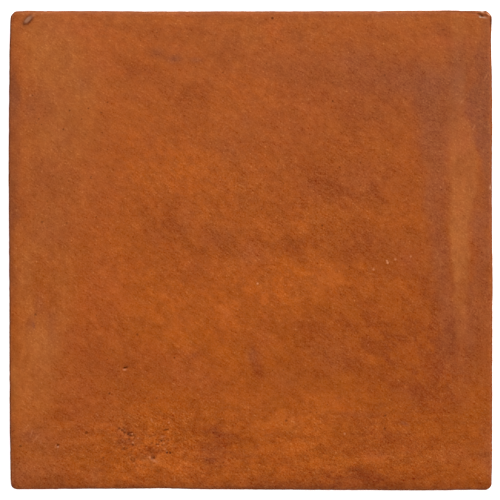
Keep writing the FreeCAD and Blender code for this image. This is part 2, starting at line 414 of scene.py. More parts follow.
UMBER_AND_SHADE = {
    "mauve smudge, left end": Stain(-47, 16, 36, 22, -15, 0.45),
    "mauve smudge, right end": Stain(-24, 1, 38, 14, -8, 0.45),
    "smudge right of the middle": Stain(26, 3, 30, 10, 0, 0.45),
    "smudge further right": Stain(70, 0, 28, 24, 0, 0.30),
    "brown patch right of centre": Stain(36, 43, 34, 26, 10, 0.48),
    "brown patch near the smoke": Stain(74, 40, 44, 22, 0, 0.34),
    "brown fleck behind": Stain(-36, 94, 36, 14, 0, 0.42),
    "brown fleck by the thumb mark": Stain(-16, 118, 14, 10, 0, 0.25),
    "brown wash behind left": Stain(-68, 112, 24, 14, 0, 0.32),
    "brown wash, back right": Stain(74, 100, 90, 50, 0, 0.30),
    "brown wash in the bloom": Stain(-126, 45, 34, 80, 0, 0.18),
    "brown line through the bloom": Stain(-132, -35, 46, 6, 69, 0.40),
    "brown ground, right": Stain(80, 30, 90, 120, 0, 0.16),
    "brown ground, front right": Stain(64, -56, 74, 38, 0, 0.48),
    "brown ground, far front right": Stain(108, -60, 60, 90, 0, 0.50),
    "brown ground inside the drip": Stain(108, -28, 14, 30, 0, 0.30),
    "brown ground outside the drip": Stain(148, -29, 9, 34, 0, 0.95),
    "dark patch, front right": Stain(106, -87, 42, 22, 0, 0.48),
    "dark foot of the smoke": Stain(125, -57, 26, 28, 0, 0.70),
    "dark patch, front left": Stain(-88, -62, 40, 30, -20, 0.38),
    "dark wash, front left": Stain(-72, -82, 36, 22, -30, 0.30),
    "dark wash, far front left": Stain(-112, -100, 36, 16, 0, 0.20),
    "dark wash beside the bloom": Stain(-90, -10, 16, 14, 0, 0.12),
    "dark streak on the shoulder": Stain(-86, -17, 18, 9, -45, 0.32),
    "dark scab": Stain(-18, -113, 26, 8, -5, 1.00),
    "dark scab's foot": Stain(-22, -126, 21, 14, 0, 1.60),
    # Painted shade along the front edge, which faces away from the key light
    "painted shade along the front": Stain(0, -152, 330, 14, 0, 0.90),
    "dark strip, front left": Stain(-125, -146, 24, 8, 0, 0.30),
    "front blot": Stain(65, -136, 8, 6, 0, 0.90),
    "shade round the front blot": Stain(67, -144, 38, 15, 0, 1.30),
    "dark spindle": Stain(4, -70, 7, 22, 12, 0.90),
    "dark wash, middle front": Stain(-32, -70, 36, 16, -40, 0.40),
    "dark wash, right front": Stain(80, -114, 26, 12, 0, 0.50),
    "dark wash in the brown ground": Stain(52, -68, 26, 28, 0, 0.26),
    "dark stain by the rough pits": Stain(-75, -117, 14, 12, -30, 0.62),
    "dark stain by the rough hollow": Stain(-61, -125, 9, 8, 0, 0.70),
    "dark stroke": Stain(85, -62, 6, 22, 0, 0.35),
    "dark fleck in the golden belt": Stain(57, -30, 12, 9, 0, 0.25),
    "dark fleck right of the belt": Stain(80, -18, 13, 9, 0, 0.25),
    "dark fleck left in the belt": Stain(-50, -52, 13, 8, 0, 0.25),
    "dark fleck under the brown ground": Stain(53, -93, 10, 7, 0, 0.40),
    "dark fleck by the front scab": Stain(6, -124, 16, 10, 0, 0.35),
    "dark fleck, far front right": Stain(112, -130, 20, 10, 0, 0.25),
    "dark patch by the front right corner": Stain(146, -124, 12, 36, 0, 0.34),
    "brown touch on the back edge": Stain(-100, 149, 26, 5, 0, 0.60),
    "mauve smudge's front side": Stain(-33, -12, 30, 14, 0, 0.15),
    "dark fleck on the front edge": Stain(15, -141, 14, 8, 0, 0.38),
    "dark fleck on the front edge, right": Stain(106, -143, 16, 10, 0, 0.38),
    "dark corner, front left": Stain(-144, -140, 14, 14, 0, 0.28),
}
GOLD = {
    "golden belt, left": Stain(-50, -28, 58, 42, -20, 0.60),
    "golden belt, middle": Stain(-14, -34, 50, 28, 10, 0.50),
    "golden belt, bright knot": Stain(16, -22, 36, 26, 30, 0.80),
    "golden belt, right": Stain(48, -16, 46, 20, 0, 0.70),
    "golden belt, low fleck": Stain(30, -35, 14, 10, 0, 0.30),
    "golden belt, high fleck": Stain(13, -6, 10, 10, 0, 0.42),
    "golden belt's front edge": Stain(-30, -55, 70, 30, 0, 0.30),
    "golden belt, orange knot": Stain(-12, -20, 14, 8, 0, 0.28),
    "golden belt, orange streak": Stain(-28, -38, 8, 16, 10, 0.15),
    "golden belt, low knot": Stain(-12, -53, 14, 8, 0, 0.30),
    "golden belt, right fleck": Stain(50, -22, 8, 10, 0, 0.25),
    "golden bloom at the left": Stain(-136, -72, 18, 40, 0, 0.58),
    "golden fleck on the shoulder": Stain(-75, 1, 13, 20, 0, 0.50),
    "golden shoulder": Stain(-91, -30, 24, 48, -15, 0.34),
    "golden ground round the pits": Stain(-64, -118, 42, 20, 0, 0.38),
    "golden ground, front": Stain(26, -106, 44, 32, 0, 0.60),
    "golden ground, front right": Stain(58, -100, 36, 16, -10, 0.45),
    "golden ground, middle front": Stain(-8, -88, 24, 34, 0, 0.35),
    "golden ground over the scab": Stain(-8, -104, 20, 10, 0, 0.20),
    # Painted highlight, golden, on the rough hollow's front lip
    "golden highlight under the rough hollow": Stain(-64, -129.5, 20, 6, -8, 0.50),
    "golden patch by the pits": Stain(-84, -105, 18, 20, 0, 0.72),
    "golden patch under the pits": Stain(-68, -133, 40, 14, 0, 0.75),
    "golden patch at the front edge": Stain(-80, -143, 14, 8, 0, 0.40),
    "golden patch, front": Stain(-42, -138, 24, 20, 0, 0.88),
    "golden fleck, front right": Stain(91, -121, 26, 6, 0, 0.35),
    "golden wash, front": Stain(30, -130, 90, 18, 0, 0.30),
    "golden wash above the pits": Stain(-56, -96, 36, 18, 0, 0.35),
    "warm patch behind": Stain(-42, 46, 60, 48, -20, 0.52),
    "warm patch, left of it": Stain(-72, 64, 24, 34, 0, 0.38),
    "warm patch under the thumb mark": Stain(-6, 102, 22, 24, 0, 0.40),
    "warm thumb mark": Stain(-10, 113, 10, 7, -40, 0.70),
    "warm wash behind the middle": Stain(12, 98, 24, 26, 0, 0.12),
    "warm fleck at the back": Stain(16, 134, 10, 16, 0, 0.40),
    "warm band at the back": Stain(-80, 128, 50, 30, 0, 0.20),
    "warm fleck, right": Stain(34, 18, 22, 10, 10, 0.42),
    "warm fleck by the smoke": Stain(98, 22, 24, 14, 20, 0.35),
    "warm fleck, front right": Stain(93, -18, 9, 22, 10, 0.38),
    "warm patch in the brown ground": Stain(72, -68, 12, 8, 0, 0.40),
    "warm flush left": Stain(-94, 22, 20, 30, 0, 0.18),
    "warm flush at the middle": Stain(4, 14, 20, 40, 0, 0.20),
    "warm patch right of the brown ground": Stain(110, -66, 16, 26, 0, 0.35),
    "warm fleck behind": Stain(-34, 77, 18, 10, 0, 0.35),
}
FLUSH = {
    "flush along the back": Stain(20, 150, 300, 9, 0, 0.45),
    "flush at the back left": Stain(-105, 138, 30, 16, 0, 0.25),
    "flush below that": Stain(-94, 114, 16, 12, 0, 0.20),
    "flush by the finger marks": Stain(-47, 124, 12, 9, 0, 0.25),
    "flush of the thumb mark": Stain(-11, 113, 10, 7, -40, 0.20),
    "flush on the lip over the smoke": Stain(116, 128, 26, 10, 0, 0.20),
    "flush on the drip": Stain(131.5, 40, 15, 110, 0, 0.18),
    "flush right of the middle": Stain(96, -8, 14, 14, 0, 0.30),
    "flush at the middle": Stain(2, -2, 16, 16, 0, 0.25),
    "flush beside the bloom": Stain(-92, -28, 30, 54, 0, 0.20),
    "flush by the bloom's end": Stain(-111, -57, 12, 18, 0, 0.20),
    "flush, front left": Stain(-104, -88, 30, 56, 0, 0.16),
    "flush, front right": Stain(80, -126, 18, 8, 0, 0.30),
    "flush on the golden fleck": Stain(98, -123, 10, 6, 0, 0.20),
    "flush on the mauve smudge": Stain(-33, -12, 30, 14, 0, 0.15),
    "flush beside the spindle": Stain(9, -48, 8, 24, 0, 0.15),
    "flush behind the middle": Stain(20, 85, 40, 50, 0, 0.12),
    "flush on the warm fleck at the back": Stain(15, 137, 9, 14, 0, 0.15),
    "flush, middle front": Stain(-45, -74, 70, 20, -25, 0.20),
    "flush on the drip's upper half": Stain(131, 66, 14, 34, 0, 0.15),
    "flush on the drip's end": Stain(130.5, -40, 8, 30, 0, 0.10),
    "flush left of the middle": Stain(-92, 34, 26, 44, 0, 0.15),
}

# Grey ash, dark, rubbed-pale and chalk-white touches in and beside the hollows. The dark ones on the
# walls of hollows, creases and pits that are turned from the key light, and along the edges, are painted
# shade with some dirt, and the pale ones on the lips that face the light are painted highlights
ASH = {
    "smear, front right": Stain(95.5, -107.2, 6.0, 2.4, -20, 0.60),
    "streak in the bloom": Stain(-134.1, -46.3, 1.8, 5.0, 15, 0.70),
    "flake in the oval dint": Stain(-137.6, 142.4, 8.0, 4.2, 45, 1.00),
}
# Dark touches: dirt in the spots, blots and the scab, and painted shade in the oval dint, the torn
# crease, the nick, the pits and the rough hollow, and along the edges
DIRT_AND_SHADE = {
    "oval dint": Stain(-137.6, 142.4, 8.6, 4.8, 45, 0.60),
    "oval dint's low side": Stain(-136.5, 141.5, 6.5, 1.3, 45, 0.28),
    "oval dint's low tip": Stain(-139.9, 140.1, 2.4, 2.0, 20, 0.30),
    "torn crease": Stain(142.4, 145.6, 4.4, 2.0, -25, 0.70),
    "torn crease's foot": Stain(142.6, 144.8, 2.0, 1.0, 0, 0.80),
    "torn crease's thin end": Stain(137.0, 146.7, 10.0, 1.0, -4, 0.45),
    "bruise by the tear": Stain(145.8, 145.5, 2.8, 1.3, -25, 0.40),
    "dot over the tear": Stain(145.0, 147.6, 1.0, 1.0, 0, 1.00),
    "line by the back right corner": Stain(148.4, 141.7, 1.2, 8.0, 0, 0.70),
    "nick": Stain(-77.3, -72.4, 3.0, 1.0, 10, 1.00),
    "nick's tooth": Stain(-78.0, -72.9, 1.0, 1.0, 0, 0.80),
    "corner pit": Stain(-119.1, -120.3, 1.3, 1.2, 0, 1.00),
    "rough hollow": Stain(-60.4, -127.9, 3.2, 1.9, -40, 0.50),
    "above the rough hollow": Stain(-61.2, -124.3, 4.6, 4.0, 0, 0.33),
    "rough pit": Stain(-75.1, -114.3, 2.8, 2.4, -30, 0.45),
    "rough pit, left": Stain(-78.1, -112.0, 5.0, 2.2, -35, 0.30),
    "rough pit, low": Stain(-72.6, -120.5, 3.0, 1.5, 0, 0.25),
    "rough dash, far right": Stain(-52.3, -110.8, 3.4, 1.1, 5, 0.60),
    "foot of the rough ground": Stain(-73.3, -129.7, 2.6, 1.0, -35, 0.28),
    "spot, front left": Stain(-142.2, -120.8, 1.6, 1.6, 0, 0.70),
    "line along the back right edge": Stain(128.5, 147.8, 26, 1.2, 0, 0.45),
    "rough dash, right": Stain(-54.2, -117.3, 3.4, 1.1, -15, 0.45),
    "spot below the rough ground": Stain(-57.2, -136.3, 3.0, 2.0, -30, 0.30),
    "front blot": Stain(65.2, -135.8, 4.2, 2.4, 0, 0.35),
    "front blot's left end": Stain(62.0, -136.2, 2.4, 1.4, 0, 0.25),
    "scab": Stain(-20.8, -112.6, 5.0, 1.6, -10, 0.18),
    "scab's right end": Stain(-5.0, -112.4, 4.0, 1.6, -20, 0.16),
    "shade on the left edge, back": Stain(-146, 94, 10, 34, 0, 0.11),
    "shade on the left edge, middle": Stain(-146, 25, 10, 30, 0, 0.07),
    "scab's foot": Stain(-22, -126, 16, 9, 0, 0.11),
    "shade round the front blot": Stain(68, -141, 22, 12, 0, 0.09),
    "foot of the smoke": Stain(124, -55, 12, 26, 0, 0.06),
    "shade on the rough ground, right": Stain(-54, -117, 16, 12, 0, 0.035),
    "shade on the rough ground, left": Stain(-77, -121, 12, 10, 0, 0.035),
}
# Pale touches: rubbed clay and scratches, and painted highlights on the lips of the nick, the pits and
# the rough hollow and on the oval flake's tail, which face the key light
RUBBED_AND_HIGHLIGHTS = {
    "oval flake's tail": Stain(-134.1, 145.5, 2.4, 1.6, 47, 0.40),
    "line by the tear": Stain(147.0, 146.0, 3.4, 0.9, -30, 0.60),
    "lip of the nick": Stain(-77.7, -73.7, 2.6, 1.0, 0, 0.75),
    "lip of the corner pit": Stain(-119.1, -121.4, 1.6, 0.8, 0, 0.60),
    "lip of the rough hollow": Stain(-59.7, -129.9, 4.8, 1.4, -25, 0.60),
    "golden lip, right of the pits": Stain(-53.8, -115.0, 4.0, 1.4, 10, 0.35),
    "chip in the right edge": Stain(148.1, 39.3, 1.6, 2.0, 0, 0.35),
    "scratch, front left": Stain(-135.5, -113.1, 6.0, 0.7, 70, 0.35),
    "scratch beside it": Stain(-132.5, -116.0, 7.0, 0.7, 50, 0.35),
    "scratch below it": Stain(-130.0, -120.0, 6.0, 0.7, 80, 0.30),
    "scratch above it": Stain(-138.5, -109.1, 5.0, 0.7, 40, 0.30),
    "hair scratch, back right": Stain(85.6, 126.4, 3.0, 0.7, 40, 0.45),
    "hair scratch by the smoke": Stain(130.5, 92.1, 3.4, 0.8, -50, 0.45),
    "hair scratch in the drip": Stain(138.0, 76.2, 3.0, 0.8, 50, 0.45),
    "hair scratch at the edge": Stain(145.2, 107.1, 5.0, 0.7, 60, 0.45),
    "scratch over the pits": Stain(-61.4, -104.9, 4.0, 0.8, -50, 0.40),
    "oval flake": Stain(-137.5, 142.7, 6.0, 2.4, 45, 0.26),
    "left lip of the corner pit": Stain(-120.3, -120.5, 0.8, 1.2, 0, 0.50),
}
# Chalk-white touches: bare chalky clay, and painted highlights on the lips of the tear and the corner pit
# and on the oval flake's upper edge
CHALK_AND_HIGHLIGHTS = {
    "oval flake": Stain(-137.5, 142.7, 6.0, 2.4, 45, 0.15),
    "oval flake's upper edge": Stain(-138.2, 143.2, 4.6, 0.8, 45, 0.05),
    "lip of the tear": Stain(144.0, 144.0, 4.8, 0.8, -10, 0.36),
    "start of the tear's lip": Stain(141.9, 144.4, 1.6, 0.9, -45, 0.50),
    "bare bit over the tear": Stain(143.4, 147.7, 2.0, 1.3, 0, 0.62),
    "line by the tear": Stain(147.3, 145.7, 2.8, 0.7, -30, 0.25),
    "chip in the right edge": Stain(148.2, 39.3, 1.0, 1.5, 0, 0.50),
    "lip of the corner pit": Stain(-119.1, -121.4, 1.0, 0.7, 0, 0.25),
    "chalky line along the back": Stain(0, 148.4, 330, 2.4, 0, 0.055),
    "chalk on the drip's top": Stain(128.5, 102, 9, 22, 0, 0.018),
}
ASH_POWER = 3
TOUCH_POWER = 4

# Specks scattered over all the clay, one in a share of the cells, and full up to a core of their radius
Scatter = namedtuple("Scatter", "cell radius share strength")
DARK_SCATTER = Scatter(3.4, 0.6, 0.06, 0.5)
PALE_SCATTER = Scatter(4.3, 0.6, 0.07, 0.4)
SPECK_CORE = 0.4

# Crisp specks on the face, smaller than the skin's grid can show. The dark ones in the pits and the rough
# hollow carry dirt and painted shade, and the pale grains of the rough ground are painted highlights on
# the sides of its pits and lips that face the key light
Speck = namedtuple("Speck", "x y radius strength")
DARK_SPECKS = {
    "at the back": Speck(13.5, 143.5, 1.15, 0.75),
    "right of centre": Speck(50.7, 92.2, 0.9, 0.55),
    "in the smoke": Speck(82.8, 108.2, 1.0, 0.40),
    "right of the middle": Speck(55.1, 51.3, 0.8, 0.55),
    "below that": Speck(44.3, 15.4, 0.9, 0.60),
    "in the bloom": Speck(-115.7, 74.8, 0.9, 0.60),
    "beside the bloom": Speck(-88.5, 91.5, 0.9, 0.50),
    "left in the bloom": Speck(-130.9, 81.3, 0.9, 0.50),
    "under the bloom": Speck(-98.7, 44.8, 0.8, 0.50),
    "on the left": Speck(-113.6, 16.8, 1.0, 0.35),
    "further left": Speck(-128.8, 17.6, 1.1, 0.50),
    "in the low bloom": Speck(-133.1, -39.7, 1.1, 0.55),
    "above the nick": Speck(-70.0, -52.0, 1.1, 0.45),
    "right of the nick": Speck(-47.1, -66.3, 0.9, 0.60),
    "above the rough ground": Speck(-87.3, -88.5, 0.9, 0.60),
    "left of the rough ground": Speck(-101.5, -112.6, 1.3, 0.55),
    "below the rough ground": Speck(-91.0, -128.1, 1.0, 0.50),
    "front": Speck(22.0, -105.2, 1.2, 0.50),
    "front right": Speck(83.2, -102.1, 1.0, 0.55),
    "below the front right one": Speck(82.8, -110.2, 1.0, 0.55),
    "back left, upper": Speck(-111.9, 86.4, 0.8, 0.60),
    "back left, right": Speck(-100.3, 87.8, 0.8, 0.60),
    "back left, far right": Speck(-92.4, 85.2, 0.8, 0.50),
    "back left, lower": Speck(-104.4, 81.2, 0.8, 0.50),
    "back left, outer": Speck(-134.8, 95.8, 0.8, 0.50),
    "string of pits, start": Speck(-81.2, -110.0, 1.0, 0.55),
    "string of pits, second": Speck(-79.4, -111.0, 1.1, 0.55),
    "string of pits, third": Speck(-78.0, -112.6, 1.0, 0.60),
    "string of pits, fourth": Speck(-75.4, -113.4, 1.2, 0.65),
    "string of pits, end": Speck(-74.2, -114.2, 1.1, 0.60),
    "below the string of pits": Speck(-74.9, -116.6, 0.9, 0.50),
    "low left pits, left": Speck(-79.4, -123.0, 0.8, 0.50),
    "low left pits, middle": Speck(-77.9, -121.8, 0.7, 0.40),
    "low left pits, right": Speck(-76.4, -122.4, 0.8, 0.50),
    "under the bright grain": Speck(-73.0, -119.9, 0.9, 0.55),
    "dash": Speck(-58.2, -119.9, 0.9, 0.60),
    "dash, right end": Speck(-57.0, -119.9, 0.8, 0.50),
    "streak over the dash": Speck(-55.2, -117.5, 0.9, 0.50),
    "right of the dash": Speck(-54.6, -120.4, 0.9, 0.50),
    "far right dash": Speck(-52.6, -110.9, 1.0, 0.50),
    "far right dash, end": Speck(-51.2, -110.8, 0.9, 0.45),
    "twin pit": Speck(-51.7, -125.0, 0.9, 0.90),
    "twin pit's fellow": Speck(-49.7, -125.2, 0.9, 0.85),
    "rough hollow": Speck(-61.0, -128.7, 1.0, 0.70),
    "rough hollow, right": Speck(-59.6, -128.0, 1.1, 0.55),
    "foot of the rough ground": Speck(-74.0, -129.4, 0.9, 0.40),
    "foot of the rough ground, end": Speck(-72.8, -130.3, 0.8, 0.35),
}
PALE_SPECKS = {
    "in the middle": Speck(4.3, -20.5, 0.9, 1.00),
    "upright dash": Speck(84.2, -6.4, 0.9, 0.80),
    "upright dash's foot": Speck(84.7, -7.6, 1.0, 1.00),
    "right of the dash": Speck(89.5, -5.5, 1.0, 0.60),
    "left of the dash": Speck(76.0, -11.8, 1.0, 0.60),
    "further right": Speck(98.9, -3.8, 1.0, 0.50),
    "front": Speck(58.1, -113.3, 1.0, 0.55),
    "back left": Speck(-136.2, 95.8, 0.9, 0.45),
    "bright grain, top of the pits": Speck(-73.1, -113.5, 0.8, 0.60),
    "bright grain over the pits": Speck(-69.6, -116.1, 0.8, 0.55),
    "bright grain by the pits": Speck(-72.7, -118.8, 0.9, 0.70),
    "bright grain, right of the pits": Speck(-50.5, -106.4, 0.9, 0.60),
    "bright grain under the dash": Speck(-57.2, -120.8, 0.8, 0.40),
    "bright grain, far right": Speck(-53.6, -119.4, 0.9, 0.50),
    "bright grain, low right": Speck(-52.8, -122.8, 0.8, 0.55),
    "bright grain by the twin pits": Speck(-51.9, -124.1, 0.7, 0.50),
    "left lip of the rough hollow": Speck(-62.3, -127.8, 0.9, 0.65),
}

# Where the grain is coarser than elsewhere
COARSE = {
    "coarse middle": Stain(15, 20, 130, 90, -10, 0.32),
    "coarse front": Stain(0, -130, 300, 60, 0, 0.28),
    "coarse rough ground": Stain(-62, -119, 60, 46, 0, 0.50),
}

# Where the smears run from back to front, and where from side to side: where that starts and is in full
UPRIGHT_FROM = 75
UPRIGHT_FULL = 125
LEVEL_FRONT_FROM = -70
LEVEL_FRONT_FULL = -115
LEVEL_BACK_FROM = 115
LEVEL_BACK_FULL = 140

# How stains wander about. One smaller than this size wanders less
STAIN_WANDERS = (Wave(3.0, 22, 11, 4), Wave(0.8, 4, 31, 4))
WANDER_SIZE = 30

# How patchy the painted shade and the worn line with its painted highlight are along the edges
PATCHES = (Wave(0.9, 9, 91, 4),)
PATCHES_LEVEL = 0.9
PATCHES_MOST = 1.6

# Painted shade along the sides of the face and on the sides themselves, darkest where they face away from
# the key light, the worn pale line along the arris, partly a painted highlight, and where the raw clay
# starts. Places are shares of the way down the arris
# Painted shade along the face's edges: none at the back, which faces the key light
EDGE_SHADE = Sides(Roll(0.22, 5.0), Roll(0.20, 1.6), Roll(0.0, 3.0), Roll(0.28, 5.5))
# Painted shade on the sides: strongest on the left and front, which face away from the key light, faint
# on the back, which faces it
SIDE_SHADE = Sides(0.78, 0.30, 0.06, 0.70)
SIDE_SHADE_FROM = 0.5
SIDE_SHADE_FULL = 0.9
SIDE_SHADE_FADE = 0.7
SIDE_PATCHES = 0.45
# The pale line along the arris is partly wear and partly a painted highlight, strongest on the back edge,
# which faces the key light
EDGE_WEAR_AND_HIGHLIGHT = Sides(0.03, 0.03, 0.06, 0.02)
WEAR_AND_HIGHLIGHT_MIDDLE = 0.5
WEAR_AND_HIGHLIGHT_WIDTH = 0.45
RAW_FROM = 0.2
RAW_FULL = 0.7

# From display levels to light: a straight line up to the knee, and a power above it
LEVELS = 255
CURVE_KNEE = 0.04045
CURVE_SLOPE = 12.92
CURVE_OFFSET = 0.055
CURVE_POWER = 2.4

# Studio light on the face: how strongly it falls there, and the sheen that it adds
LIGHT_ON_FACE = 1.07
SHEEN_ON_FACE = 0.0036

# Gloss of the sealer and its roughness, and the roughness of the raw clay
SEALER_SHINE = 0.08
SEALED_ROUGHNESS = 0.43
RAW_ROUGHNESS = 0.9

# Colours of the clay, lighter and bluer at the back and darker at the front over a length, and of its
# stains
CLAY = np.array((165.5, 83.3, 35.5))
CLAY_BACK = np.array((168.5, 87.8, 40.5))
CLAY_FRONT = np.array((163.7, 80.8, 27.6))
DRIFT_START = -90
DRIFT_LENGTH = 235
STAIN_COLOURS = {
    "umber_and_shade": CLAY + (-14, -11, -5),
    "gold": CLAY + (17, 7.5, -3),
    "bloom": CLAY + (8, 16, 13),
    "smoke": CLAY + (-18, -2, 15),
    "flush": CLAY + (8, 2, 16),
}
# Dirt's colour, which also paints shade, and the colours of rubbed clay and of chalk, which also paint
# highlights
DIRT_AND_SHADE_COLOUR = np.array((88.0, 35.0, 6.0))
RUBBED_AND_HIGHLIGHT_COLOUR = np.array((207.0, 131.0, 86.0))
CHALK_AND_HIGHLIGHT_COLOUR = np.array((222.0, 192.0, 164.0))
RAW_COLOUR = np.array((152.0, 83.0, 46.0))
UNDERSIDE_COLOUR = np.array((176.0, 98.0, 54.0))

# Textures of the clay: the size of their cells along and across, the way they run, and the noise's values
Texture = namedtuple("Texture", "length breadth turn seed detail roughness")
TEXTURES = {
    "broad": Texture(14, 14, 0, 1, 2, 0.5),
    "mottle": Texture(4.5, 4.5, 0, 2, 2, 0.5),
    "grain": Texture(1.9, 1.9, 0, 3, 2, 0.5),
    "dust": Texture(0.95, 0.95, 0, 4, 1, 0.5),
    "fibres": Texture(2.9, 0.85, 35, 5, 1, 0.5),
}
SLANTING_SMEARS = Texture(22, 11, 36, 11, 5, 0.72)
TURNED_SMEARS = {
    "upright": Texture(26, 9, 90, 12, 5, 0.72),
    "level": Texture(26, 9, 0, 13, 5, 0.72),
}

# Flecks are smears with firm edges: what they are made of, and between which values the edge lies
FLECKING = {"smears": 1.0, "mottle": 0.15}
FLECK_LOW = -0.05
FLECK_HIGH = 0.06

# How textures break up the stains: umber and golden ones by flecks, and the others by smears
RAGGED = {"broad": 0.5, "mottle": 0.5}
FLECKED = 0.6
GOLD_SHARE = 0.8
SMEARED = 2.2

# Darker raw clay smeared over the underside
UNDERSIDE_RAW = 0.4
UNDERSIDE_SMEARS = {"smears": 3.0, "broad": 1.0}

# Mottling of the colour, which is stronger where the smears run level, and how far the colour goes for it
MOTTLING = {"smears": 2.2, "flecks": 0.2, "broad": 0.7, "mottle": 1.9, "grain": 0.5}
LEVEL_MOTTLE = 0.25
MOTTLE_SPREAD = (11.5, 7.0, 2.2)

# Tinges of the colour: a texture, how strong it is, and how far the colour goes for it
Tinge = namedtuple("Tinge", "texture strength spread")
TINGES = {
    "red to blue": Tinge(Texture(12, 8, 20, 6, 4, 0.7), 1.2, (-4.5, 0.5, 9.0)),
    "red to green": Tinge(Texture(16, 10, 30, 7, 4, 0.7), 3.0, (-3.0, 3.0, -1.0)),
}

# Grain of the colour: the speckle in it, the speckle's curve, and how far the colour goes for the grain
SPECKLING = {"dust": 4.8, "fibres": 3.3}
SPECKLE_LINE = 0.7
SPECKLE_SQUARE = 0.12
SPECKLE_CUBE = 0.3
GRAIN_SHARE = 0.8
GRAIN_SPREAD = (9.1, 10.8, 10.6)

# How the grain breaks up touches, how textures roughen the sealer, and their relief, stronger on raw clay
TOUCH_GRAIN = 0.8
ROUGHENING = {"mottle": 0.10, "grain": 0.08}
RELIEF = {"smears": 0.020, "mottle": 0.026, "grain": 0.018, "dust": 0.014, "fibres": 0.016}
SPECK_DEPTH = 0.03
RAW_RELIEF = 1.5

# Sockets of a Mix node for colours, by number, because several of them share a name
MIX_FACTOR = 0
MIX_BELOW = 6
MIX_ABOVE = 7
MIX_RESULT = 2

# Studio, in metres: a pale floor with a glow of its own, so that it stays white, and soft lamps
FLOOR_REACH = 30.0
FLOOR_OPENING = 0.146
FLOOR_DROP = 0.0001
FLOOR_WHITE = 0.9
FLOOR_ROUGHNESS = 0.9
FLOOR_SHINE = 0.1
FLOOR_GLOW = 0.75
WORLD_LIGHT = 0.2
LAMP_DISTANCE = 3.0
Lamp = namedtuple("Lamp", "bearing elevation strength spread")
LAMPS = {
    "key_light": Lamp(70, 40, 2.4, 30),
    "left_light": Lamp(190, 40, 0.75, 60),
    "right_light": Lamp(-10, 40, 0.75, 60),
    "front_light": Lamp(-95, 40, 0.35, 60),
    "under_light": Lamp(-95, -70, 2.0, 60),
}

# Camera: straight above, far enough off in metres to see the tile square, with this width in the picture
CAMERA_HEIGHT = 12.0
CAMERA_SIGHT = 36.0
SENSOR = 36.0
PICTURE_WIDTH = 309.3
CAMERA_X = -0.37
CAMERA_Y = 0.25


def smooth(share):
    """0 to 1 eased in and out as 3s^2 - 2s^3."""
    return share * share * (3 - 2 * share)


def ramp(value, start, full):
    """0 at start and 1 at full, eased between. Full may be below start."""
    return smooth(np.clip((value - start) / (full - start), 0, 1))


def eased(knots, at):
    """Value between (place, value) knots, eased in and out at each."""
    places, values = np.array(knots).T
    span = np.clip(np.searchsorted(places, at) - 1, 0, len(places) - 2)
    share = ramp(at, places[span], places[span + 1])
    return values[span] + (values[span + 1] - values[span]) * share


def fall(distance, power=2):
    """1 at no distance, falling off as exp(-d^power)."""
    return np.exp(-(np.abs(distance) ** power))


def clay_noise(x, y, cell, seed):
    """Smooth noise, about -1 to 1: a random height at each corner of a turned square lattice, and an
    eased blend of the four corners' heights between them."""
    heights = np.random.default_rng(seed).uniform(-1, 1, (LATTICE_SIZE, LATTICE_SIZE))
    turn = np.radians(LATTICE_TURN)
    column = (x * np.cos(turn) - y * np.sin(turn)) / cell + LATTICE_SIZE / 2
    row = (x * np.sin(turn) + y * np.cos(turn)) / cell + LATTICE_SIZE / 2
    left = np.floor(column).astype(int)
    low = np.floor(row).astype(int)
    across = smooth(column - left)
    up = smooth(row - low)
    left %= LATTICE_SIZE - 1
    low %= LATTICE_SIZE - 1
    bottom = heights[low, left] * (1 - across) + heights[low, left + 1] * across
    top = heights[low + 1, left] * (1 - across) + heights[low + 1, left + 1] * across
    return bottom * (1 - up) + top * up


def waves(x, y, layers):
    """Sum of layers of clay noise. Each octave of a layer has half the cell of the one before it, and
    OCTAVE_HEIGHT times its height."""
    total = np.zeros_like(x)
    for layer in layers:
        for octave in range(layer.octaves):
            height = layer.height * OCTAVE_HEIGHT**octave
            total += height * clay_noise(x, y, layer.cell / 2**octave, layer.seed + octave)
    return total


def wandering(x, y, layers):
    """The points moved about by waves, so that what is read there has an uneven edge."""
    other_way = [layer._replace(seed=layer.seed + OTHER_WAY_SEED) for layer in layers]
    return x + waves(x, y, layers), y + waves(x, y, other_way)


def bell(x, y, spot, power=2):
    """1 in the middle of a stain or hollow, falling off as exp(-d^power), where d is 1 at half its
    length or breadth."""
    turn = np.radians(spot.turn)
    along = (x - spot.x) * np.cos(turn) + (y - spot.y) * np.sin(turn)
    across = (y - spot.y) * np.cos(turn) - (x - spot.x) * np.sin(turn)
    return fall(np.hypot(along / (spot.length / 2), across / (spot.breadth / 2)), power)


def stained(x, y, stains, power=2):
    """Sum of the bells of these stains, each times its strength."""
    return sum(stain.strength * bell(x, y, stain, power) for stain in stains.values())


def pressed(x, y, hollows, power):
    """Sum of the bells of these hollows or flakes, each times its depth."""
    return sum(hollow.depth * bell(x, y, hollow, power) for hollow in hollows.values())


def soaked(x, y, far_x, far_y, stains):
    """Sum of the bells of stains with uneven edges: each is read at points on the way from the true ones
    to the wandering ones, and the smaller it is the less far they go."""
    weight = np.zeros_like(x)
    for stain in stains.values():
        share = min(1, stain.length / WANDER_SIZE, stain.breadth / WANDER_SIZE)
        weight += stain.strength * bell(x + share * (far_x - x), y + share * (far_y - y), stain)
    return weight


def streaked(x, y, streaks, power):
    """Sum of streaks: each one's middle, half width and strength are blended from knot to knot along y,
    and it falls off across as exp(-d^power)."""
    weight = np.zeros_like(x)
    for knots in streaks.values():
        rows = sorted(knots)
        at = [knot.y for knot in rows]
        middle = np.interp(y, at, [knot.x for knot in rows])
        half_width = np.interp(y, at, [knot.half_width for knot in rows])
        strength = np.interp(y, at, [knot.strength for knot in rows], left=0)
        weight += strength * fall((x - middle) / half_width, power)
    return weight


